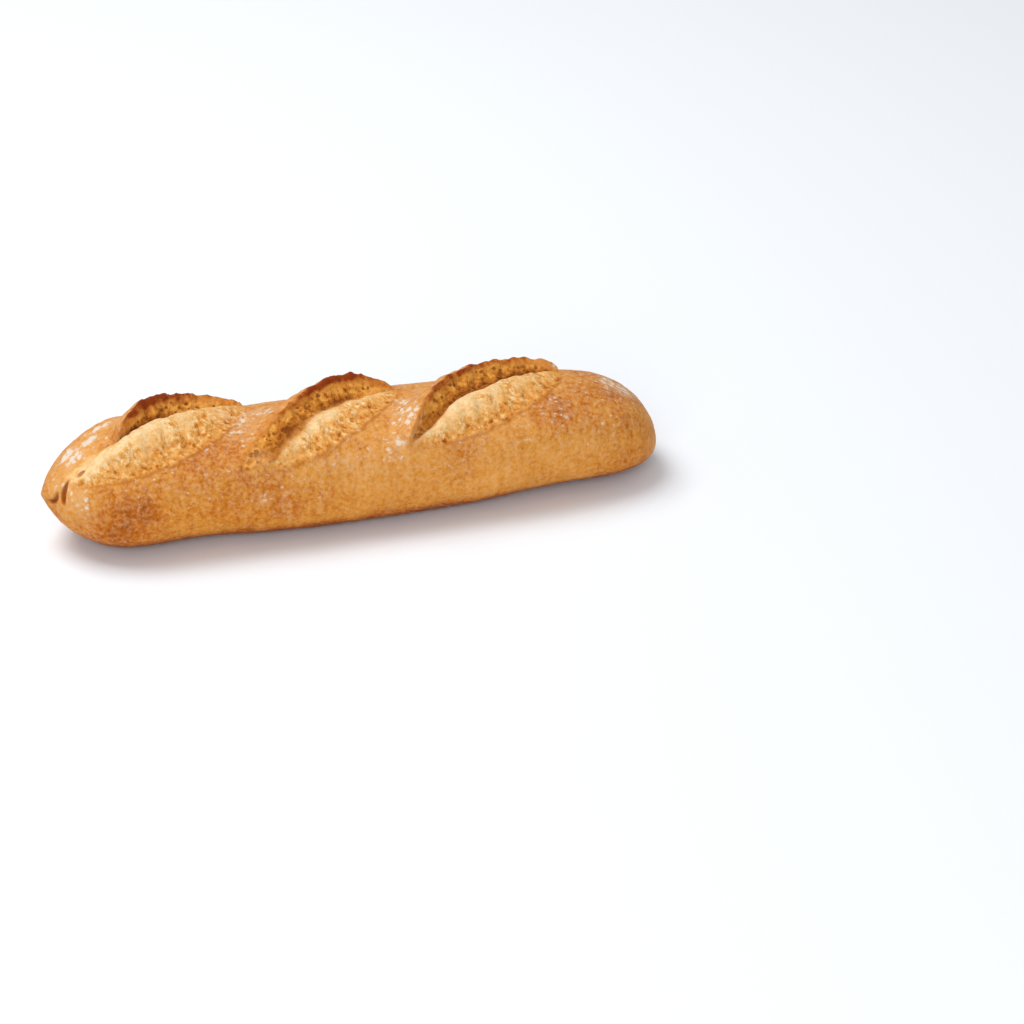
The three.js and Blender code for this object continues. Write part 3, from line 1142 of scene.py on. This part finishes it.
@dataclass
class Loaf:
    """The loaf: one closed skin of bread. Sizes are in mm.

    Attributes:
        length: How long it is.
        width: How wide its full section is.
        crest_height: How high it is between its ears.
        core_height: Height of the line that its section is drawn round.
        underside_depth: How far the section would reach below that line.
        top_roundness: How square the section is above the line, 2 being round.
        underside_roundness: The same below it.
        unevenness: How uneven the crust is, as a share of its radius.
        wave_length: How far along the loaf the slowest wave turns by a radian.
        crust_waves: How fast each wave turns along and round the loaf, and its phase.
        floor_round: How softly the flank turns into the underside.
        pinched_end: How it closes at its pinched tip.
        round_end: How it closes at its other end.
        dents: Where it draws in or swells out.
        tip: The folds of its pinched tip.
        round_radius: The radius that distances round the loaf are measured at.
        slash_form: What its slashes share.
        slash_marks: Where their zones start and end.
        slashes: Its slashes, from the pinched tip on.
        rings: How many rings of corners its skin has.
        spokes: How many corners a ring has.
        top_density: How much closer they are on top than below.
        station_steps: How many steps the way over the skin is measured in.
        finish: Its baked finish.
        relief_heights: Heights where the crust's relief starts and is full.
        rim_heights: Heights where the rim at the table starts to fade and is gone.
        bare_heights: Heights where the bare low crust starts to fade and is gone.
        floured_heights: Heights where the flour on top starts and is full.
        crest_heights: Heights where the crest starts and is full.
        end_shade_from: Places along the loaf where the round end's painted shade starts and is full.
        top_flour: How much flour lies on top.
        low_bare: How much less lies on the low crust.
        rim_bare: How much less again lies on the rim.
        tear_size: Size of the torn patches in the crumb.
        low_tears: How much more the crumb is torn where it hasn't risen.
        tear_levels: How torn it has to be for tears to start and to be full.
        toast: How toasted the crust is.
        rim_toast: How much more the rim is.
        crest_toast: How much more the crest is.
        end_shade: How much darker the round end is, as painted shade.
        dustings: Where more flour lies.
        toastings: Where the crust is more toasted, or less where their strength is less than 0.
        layers: The relief that is pressed into the skin, layer by layer.
        weight_levels: How many strengths a layer of relief can have.
        masks: How far each zone reaches at each corner.
    """

    length: float = 240.0
    width: float = 58.0
    crest_height: float = 40.4
    core_height: float = 17.2
    underside_depth: float = 20.0
    top_roundness: float = 2.5
    underside_roundness: float = 2.2
    unevenness: float = 0.012
    wave_length: float = 14.0
    crust_waves: tuple[Place, ...] = ((1.0, 2.0, 0.0), (1.9, -3.0, 2.0), (-0.7, 5.0, 4.0))
    floor_round: float = 2.5
    pinched_end: LoafEnd = LoafEnd(bluntness=8.9, closing=1.19, point_height=20.5)
    round_end: LoafEnd = LoafEnd(bluntness=6.1, closing=2.25, point_height=8.9)
    dents: tuple[Dent, ...] = (
        Dent(along=-63.0, angle=-2.2, reach=22.0, sharpness=6, depth=2.6),
        Dent(along=78.0, angle=-2.2, reach=30.5, sharpness=6, depth=3.6),
        Dent(along=-91.0, angle=0.4, reach=15.0, sharpness=8, depth=-4.0),
    )
    tip: PinchedTip = PinchedTip()
    round_radius: float = 27.0
    slash_form: SlashForm = SlashForm()
    slash_marks: SlashMarks = SlashMarks()
    slashes: tuple[Slash, ...] = (
        Slash(
            along=-76.0, round=-3.5, half_length=41.8, near_width=18.0, near_lean=0.18, bloom=5.4, hold=0.45,
            fold=0.8, wall_foot=3.2, notch=0.0, shade=0.0, shade_at=0.0, ear_from=-0.34, ear_reach=11.4,
            reach_lean=0.1, ear_height=10.3, height_lean=-0.36, ear_fullness=0.45, phase=0.0,
        ),
        Slash(
            along=-15.7, round=-7.8, half_length=40.7, near_width=14.5, near_lean=0.06, bloom=2.1, hold=0.9,
            fold=0.0, wall_foot=0.8, notch=13.0, shade=2.8, shade_at=-0.28, ear_from=-1.0, ear_reach=11.4,
            reach_lean=0.12, ear_height=9.6, height_lean=0.45, ear_fullness=0.98, phase=2.1,
        ),
        Slash(
            along=50.0, round=-7.0, half_length=39.6, near_width=15.4, near_lean=0.16, bloom=3.7, hold=0.45,
            fold=0.0, wall_foot=3.2, notch=4.0, shade=2.4, shade_at=0.07, ear_from=-1.0, ear_reach=14.1,
            reach_lean=0.02, ear_height=7.8, height_lean=-0.12, ear_fullness=0.26, phase=4.4,
        ),
    )
    rings: int = 495
    spokes: int = 200
    top_density: float = 0.6
    station_steps: int = 4001
    finish: CrustFinish = CrustFinish()
    relief_heights: Span = (0.4, 3.0)
    rim_heights: Span = (2.0, 10.0)
    bare_heights: Span = (4.0, 20.0)
    floured_heights: Span = (14.0, 34.0)
    crest_heights: Span = (26.0, 40.0)
    end_shade_from: Span = (75.0, 112.0)
    top_flour: float = 0.3
    low_bare: float = 0.5
    rim_bare: float = 0.6
    tear_size: float = 7.0
    low_tears: float = 1.1
    tear_levels: Span = (0.35, 0.8)
    toast: float = 0.38
    rim_toast: float = 0.95
    crest_toast: float = 0.02
    end_shade: float = 0.12
    dustings: tuple[Patch, ...] = (
        Patch(-45.0, 0.0, 9.0, 16.0, 0.9),
        Patch(17.0, -14.0, 8.0, 16.0, 0.72),
        Patch(-11.0, -28.0, 18.0, 5.0, 0.5),
        Patch(-108.5, 6.0, 4.5, 7.0, 1.1),
        Patch(-106.0, -3.0, 4.5, 6.0, 1.15),
        Patch(-100.5, 3.5, 5.5, 4.5, 1.1),
        Patch(-95.0, 9.0, 8.0, 3.5, 1.0),
        Patch(-109.0, -22.0, 9.0, 20.0, 0.48),
        Patch(77.0, -18.0, 15.0, 14.0, 0.45),
        Patch(105.0, 2.0, 9.0, 13.0, 1.0),
        Patch(-34.0, 5.0, 6.0, 7.0, 0.95),
        Patch(19.0, -4.0, 4.5, 7.0, 0.9),
        Patch(11.0, -25.0, 5.5, 6.5, 0.8),
        Patch(-41.0, -24.0, 7.0, 6.0, 0.7),
        Patch(-104.0, -21.0, 5.0, 4.0, 0.7),
        Patch(-107.0, -34.0, 6.0, 9.0, 0.55),
        Patch(-41.0, -38.0, 2.5, 2.5, 0.65),
        Patch(-84.0, -29.5, 3.0, 3.0, 0.7),
        Patch(-33.5, -39.0, 2.0, 9.0, 0.42),
        Patch(-19.5, -37.5, 2.0, 8.0, 0.4),
        Patch(-60.0, 32.0, 40.0, 14.0, 0.5),
        Patch(40.0, 34.0, 50.0, 14.0, 0.5),
    )
    toastings: tuple[Patch, ...] = (
        Patch(-90.0, -34.0, 17.0, 12.0, 0.37),
        Patch(-98.0, -46.0, 9.0, 7.0, 0.25),
        Patch(-52.0, -41.0, 20.0, 9.0, 0.2),
        Patch(-55.0, -20.0, 15.0, 9.0, 0.3),
        Patch(-111.0, -20.0, 10.0, 24.0, -0.4),
        Patch(8.0, -36.0, 15.0, 9.0, -0.2),
        Patch(76.0, -20.0, 13.0, 9.0, 0.35),
        Patch(104.0, -8.0, 10.0, 10.0, 0.2),
        Patch(86.0, -37.0, 18.0, 7.0, -0.2),
        Patch(48.0, -47.0, 30.0, 9.0, -0.2),
    )
    layers: tuple[Relief, ...] = (
        Relief("swelling", Grain.LUMPS, Zone.CRUST, 11.0, 0.9, octaves=2),
        Relief("blisters", Grain.LUMPS, Zone.CRUST, 2.6, 0.4, octaves=2),
        Relief("crumb_lumps", Grain.LUMPS, Zone.BLOOM, 3.2, 0.8, (1.0, 1.3, 1.0), 3),
        Relief("crumb_tears", Grain.PORES, Zone.TORN, 2.3, 0.8, (1.0, 1.3, 1.0)),
        Relief("lip_crags", Grain.LUMPS, Zone.LIP, 1.8, 0.8, octaves=2),
        Relief("wall_ledges", Grain.RIDGES, Zone.WALL, 4.4, 1.0, (2.2, 1.0, 1.0), 3),
        Relief("wall_pores", Grain.PORES, Zone.WALL, 2.8, 0.8),
        Relief("ear_chips", Grain.LUMPS, Zone.EAR, 3.4, 0.9, octaves=2),
    )
    weight_levels: int = 64
    masks: dict[Zone, Array] = field(default_factory=dict)

    def waves(self, along: Array, angle: Array) -> Array:
        """Lays slow waves over the crust, which make bread uneven.

        Args:
            along: Places along the loaf.
            angle: Angles round it from the crest.

        Returns:
            How far the crust is off its even form, between about -1 and 1.
        """
        a = along / self.wave_length
        waves = [np.sin(onward * a + round_ * angle + phase) for onward, round_, phase in self.crust_waves]
        return sum(waves) / len(waves)

    def fullness(self, share: Array) -> Array:
        """Closes the loaf towards its ends.

        Args:
            share: Shares of the loaf's length, from -1 at the pinched tip to 1.

        Returns:
            How full the loaf is, from 1 in the middle to 0 at its points.
        """
        blunt = np.where(share < 0, self.pinched_end.bluntness, self.round_end.bluntness)
        closing = np.where(share < 0, self.pinched_end.closing, self.round_end.closing)
        return np.maximum(0.0, 1.0 - np.abs(share) ** blunt) ** (1.0 / closing)

    def section(self, angle: Array) -> Array:
        """Draws the loaf's full section.

        Args:
            angle: Angles from the crest, positive towards the back.

        Returns:
            The section's radius at each angle.
        """
        across = np.abs(np.sin(angle)) / (self.width / 2)
        up = np.cos(angle)
        reach = np.where(up > 0, self.crest_height - self.core_height, self.underside_depth)
        power = np.where(up > 0, self.top_roundness, self.underside_roundness)
        return (across**power + (np.abs(up) / reach) ** power) ** (-1.0 / power)

    def mark(self, zone: Zone, share: Array) -> None:
        """Adds to a zone of the crust, where it isn't marked as strongly already."""
        self.masks[zone] = np.maximum(self.masks.get(zone, np.zeros_like(share)), share)

    def rest(self, height: Array) -> Array:
        """Levels the underside with the table, and rounds it up to the flank.

        Args:
            height: Heights over the table, less than 0 below it.

        Returns:
            The levelled heights.
        """
        eased = (height + self.floor_round) ** 2 / (4.0 * self.floor_round)
        levelled = np.where(height <= -self.floor_round, 0.0, eased)
        return np.where(height >= self.floor_round, height, levelled)

    def stations(self, share: Array) -> Array:
        """Places along the loaf that are evenly spaced over its skin.

        Args:
            share: Shares of the way over the skin, from the pinched tip to the round end.

        Returns:
            The places, in mm along the loaf.
        """
        fine = np.linspace(-self.length / 2, self.length / 2, self.station_steps)
        half = self.fullness(2 * fine / self.length) * self.width / 2
        walked = np.concatenate([[0.0], np.cumsum(np.hypot(np.diff(fine), np.diff(half)))])
        return np.interp(share * walked[-1], walked, fine)

    def skin(self, along: Array, angle: Array) -> Array:
        """Works out the skin.

        Args:
            along: Places along the loaf.
            angle: Angles round it from the crest.

        Returns:
            The skin's points, in mm.
        """
        round_ = angle * self.round_radius
        lift = np.zeros_like(along)
        along_slid = along.copy()
        round_slid = round_.copy()
        at_point = self.fullness(2 * along / self.length)
        for slash in self.slashes:
            opened = OpenSlash(self.slash_form, slash, along, round_)
            lift += opened.lift()
            slide = at_point * opened.slide()
            along_slid -= slide * math.sin(self.slash_form.angle)
            round_slid += slide * math.cos(self.slash_form.angle)
            for zone, share in opened.zones(self.slash_marks).items():
                self.mark(zone, share)
        share = np.clip(2 * along_slid / self.length, -1.0, 1.0)
        full = self.fullness(share)
        turned = round_slid / self.round_radius
        point = np.where(share < 0, self.pinched_end.point_height, self.round_end.point_height)
        lift = lift - sum(dent.press(along, angle) for dent in self.dents)
        radius = full * (self.section(turned) * (1 + self.unevenness * self.waves(along, angle)) + lift)
        height = point + (self.core_height - point) * full + radius * np.cos(turned)
        points = np.stack([along_slid, radius * np.sin(turned), self.rest(height)], axis=1)
        # The tip's groove, moat and pit are given painted shade.
        points, dark = self.tip.press(points)
        self.mark(Zone.FOLD, dark)
        return points

    def build(self) -> bpy.types.Object:
        """Models the loaf from a sphere whose poles go to the loaf's two points.

        Returns:
            The loaf.
        """
        deselect()
        bpy.ops.mesh.primitive_uv_sphere_add(segments=self.spokes, ring_count=self.rings, calc_uvs=False)
        piece = bpy.context.object
        piece.name = piece.data.name = "baked_loaf"
        corners = self.read(piece)
        fallen = np.arccos(np.clip(corners[:, 2], -1.0, 1.0)) / np.pi
        turn = (0.5 - np.arctan2(corners[:, 1], corners[:, 0]) / np.pi + 1.0) % 2.0 - 1.0
        angle = np.pi * turn - self.top_density * np.sin(np.pi * turn)
        along = self.stations(1.0 - fallen)
        points = self.skin(along, angle)
        self.write(piece, points)
        self.mark_crust(points, along, angle)
        self.press_relief(piece, points)
        bpy.ops.object.shade_smooth()
        return piece

    @staticmethod
    def read(piece: bpy.types.Object) -> Array:
        """Reads a piece's corners.

        Args:
            piece: The piece.

        Returns:
            Its corners, in its own units.
        """
        flat = np.empty(len(piece.data.vertices) * 3, np.float32)
        piece.data.vertices.foreach_get("co", flat)
        return flat.reshape(-1, 3).astype(float)

    @staticmethod
    def write(piece: bpy.types.Object, points: Array) -> None:
        """Moves a piece's corners to points in mm."""
        piece.data.vertices.foreach_set("co", (points * MM).astype(np.float32).ravel())
        piece.data.update()

    def mark_crust(self, points: Array, along: Array, angle: Array) -> None:
        """Marks the zones that follow the whole loaf.

        Args:
            points: The skin's points, in mm.
            along: Their places along the loaf.
            angle: Their angles round it.
        """
        height = points[:, 2]
        round_ = angle * self.round_radius
        rim = 1.0 - smoothstep(height, *self.rim_heights)
        opened = np.clip(self.masks[Zone.BLOOM] + self.masks[Zone.WALL], 0.0, 1.0)
        self.masks[Zone.CRUST] = (1.0 - opened) * smoothstep(height, *self.relief_heights)
        flour = self.top_flour * smoothstep(height, *self.floured_heights)
        flour = flour - self.low_bare * (1.0 - smoothstep(height, *self.bare_heights)) - self.rim_bare * rim
        for dusting in self.dustings:
            flour = np.maximum(flour, dusting.cover(along, round_))
        self.masks[Zone.FLOUR] = flour
        tears = np.array([noise.noise(Vector(point) / self.tear_size) for point in points])
        tears = tears + self.low_tears * (1.0 - self.masks[Zone.RISE])
        self.masks[Zone.TORN] = self.masks[Zone.BLOOM] * smoothstep(tears, *self.tear_levels)
        crest = smoothstep(height, *self.crest_heights)
        round_end = smoothstep(along, *self.end_shade_from)
        patches = sum(patch.cover(along, round_) for patch in self.toastings)
        # The round end is darkened here as painted shade.
        toast = self.toast + self.rim_toast * rim + self.crest_toast * crest + self.end_shade * round_end
        self.masks[Zone.TOAST] = toast + patches

    def press_relief(self, piece: bpy.types.Object, points: Array) -> None:
        """Presses the layers of relief into the loaf, and keeps its zones as attributes.

        Args:
            piece: The loaf.
            points: Its smooth skin, in mm.
        """
        for zone in dict.fromkeys(layer.zone for layer in self.layers):
            group = piece.vertex_groups.new(name=zone.value)
            level = np.round(self.masks[zone] * self.weight_levels).astype(int)
            for weight in range(1, self.weight_levels + 1):
                group.add(np.flatnonzero(level == weight).tolist(), weight / self.weight_levels, "REPLACE")
        normals = np.empty(len(points) * 3, np.float32)
        piece.data.vertex_normals.foreach_get("vector", normals)
        guide = bpy.data.objects.new("slash_guide", None)
        bpy.context.scene.collection.objects.link(guide)
        guide.rotation_euler[2] = self.slash_form.angle
        for layer in self.layers:
            layer.press(piece, guide)
        bpy.data.objects.remove(guide)
        pressed = self.read(piece) / MM
        pressed[:, 2] = np.maximum(pressed[:, 2], 0.0)
        self.write(piece, pressed)
        self.masks[Zone.RELIEF] = np.sum((pressed - points) * normals.reshape(-1, 3), axis=1)
        piece.vertex_groups.clear()
        for zone, share in self.masks.items():
            kept = piece.data.attributes.new(zone.value, "FLOAT", "POINT")
            kept.data.foreach_set("value", share.astype(np.float32))

    def dress(self, piece: bpy.types.Object) -> None:
        """Gives the loaf its baked finish, and sets it in the place of its solid.

        Args:
            piece: The loaf.
        """
        piece.data.materials.append(self.finish.material())
        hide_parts("loaf")
        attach(piece, "root")


@dataclass(frozen=True)
class Studio:
    """The pale table, the soft light and the camera. Sizes are in metres."""

    floor_size: float = 6.0
    floor_colour: Colour = baked(242, 246, 251)
    floor_roughness: float = 0.9
    target: Place = (0.055, -0.0266, 0.0)
    distance: float = 1.1
    azimuth: float = math.radians(-16.0)
    elevation: float = math.radians(30.0)
    focal_length: float = 101.0
    sensor: float = 36.0
    sky: float = 0.45
    key_place: Place = (-0.45, 0.45, 1.4)
    key_size: float = 0.9
    key_power: float = 15.6
    fill_place: Place = (-0.5, -1.3, 0.7)
    fill_size: float = 0.9
    fill_power: float = 9.0

    def set_floor(self) -> bpy.types.Object:
        """Lays the pale table that the loaf stands on.

        Returns:
            The floor.
        """
        deselect()
        bpy.ops.mesh.primitive_plane_add(size=self.floor_size)
        floor = bpy.context.object
        floor.name = "pale_table"
        shader = Shader("pale_table")
        shader.feed("Base Color", self.floor_colour)
        shader.feed("Roughness", self.floor_roughness)
        floor.data.materials.append(shader.material)
        return floor

    def hang_light(self, name: str, place: Place, size: float, power: float) -> None:
        """Hangs a square soft light that shines at the loaf.

        Args:
            name: The light's name.
            place: Where it hangs.
            size: Its side.
            power: Its power, in watts.
        """
        data = bpy.data.lights.new(name, "AREA")
        data.size = size
        data.energy = power
        light = bpy.data.objects.new(name, data)
        light.location = place
        light.rotation_euler = (-Vector(place)).to_track_quat("-Z", "Y").to_euler()
        bpy.context.scene.collection.objects.link(light)

    def light(self) -> None:
        """Lights the loaf softly from behind and above, with a fill at the front."""
        world = bpy.data.worlds.new("soft_sky")
        world.use_nodes = True
        world.node_tree.nodes["Background"].inputs["Color"].default_value = (1.0, 1.0, 1.0, 1.0)
        world.node_tree.nodes["Background"].inputs["Strength"].default_value = self.sky
        bpy.context.scene.world = world
        bpy.context.scene.view_settings.view_transform = "Standard"
        self.hang_light("key_light", self.key_place, self.key_size, self.key_power)
        self.hang_light("fill_light", self.fill_place, self.fill_size, self.fill_power)

    def place_camera(self) -> None:
        """Stands the camera at the front, to the left, looking down at the loaf."""
        data = bpy.data.cameras.new("camera")
        data.lens = self.focal_length
        data.sensor_width = self.sensor
        camera = bpy.data.objects.new("camera", data)
        back = Vector((
            math.sin(self.azimuth) * math.cos(self.elevation),
            -math.cos(self.azimuth) * math.cos(self.elevation),
            math.sin(self.elevation),
        ))
        camera.location = Vector(self.target) + self.distance * back
        camera.rotation_euler = (-back).to_track_quat("-Z", "Y").to_euler()
        bpy.context.scene.collection.objects.link(camera)
        bpy.context.scene.camera = camera


def main() -> None:
    """Builds the loaf and its studio."""
    logging.basicConfig(level=logging.INFO, format="%(name)s: %(message)s")
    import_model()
    studio = Studio()
    studio.place_camera()
    studio.set_floor()
    studio.light()
    loaf = Loaf()
    piece = loaf.build()
    loaf.dress(piece)
    LOG.info("%s: %d corners", piece.name, len(piece.data.vertices))


if __name__ == "__main__":
    main()
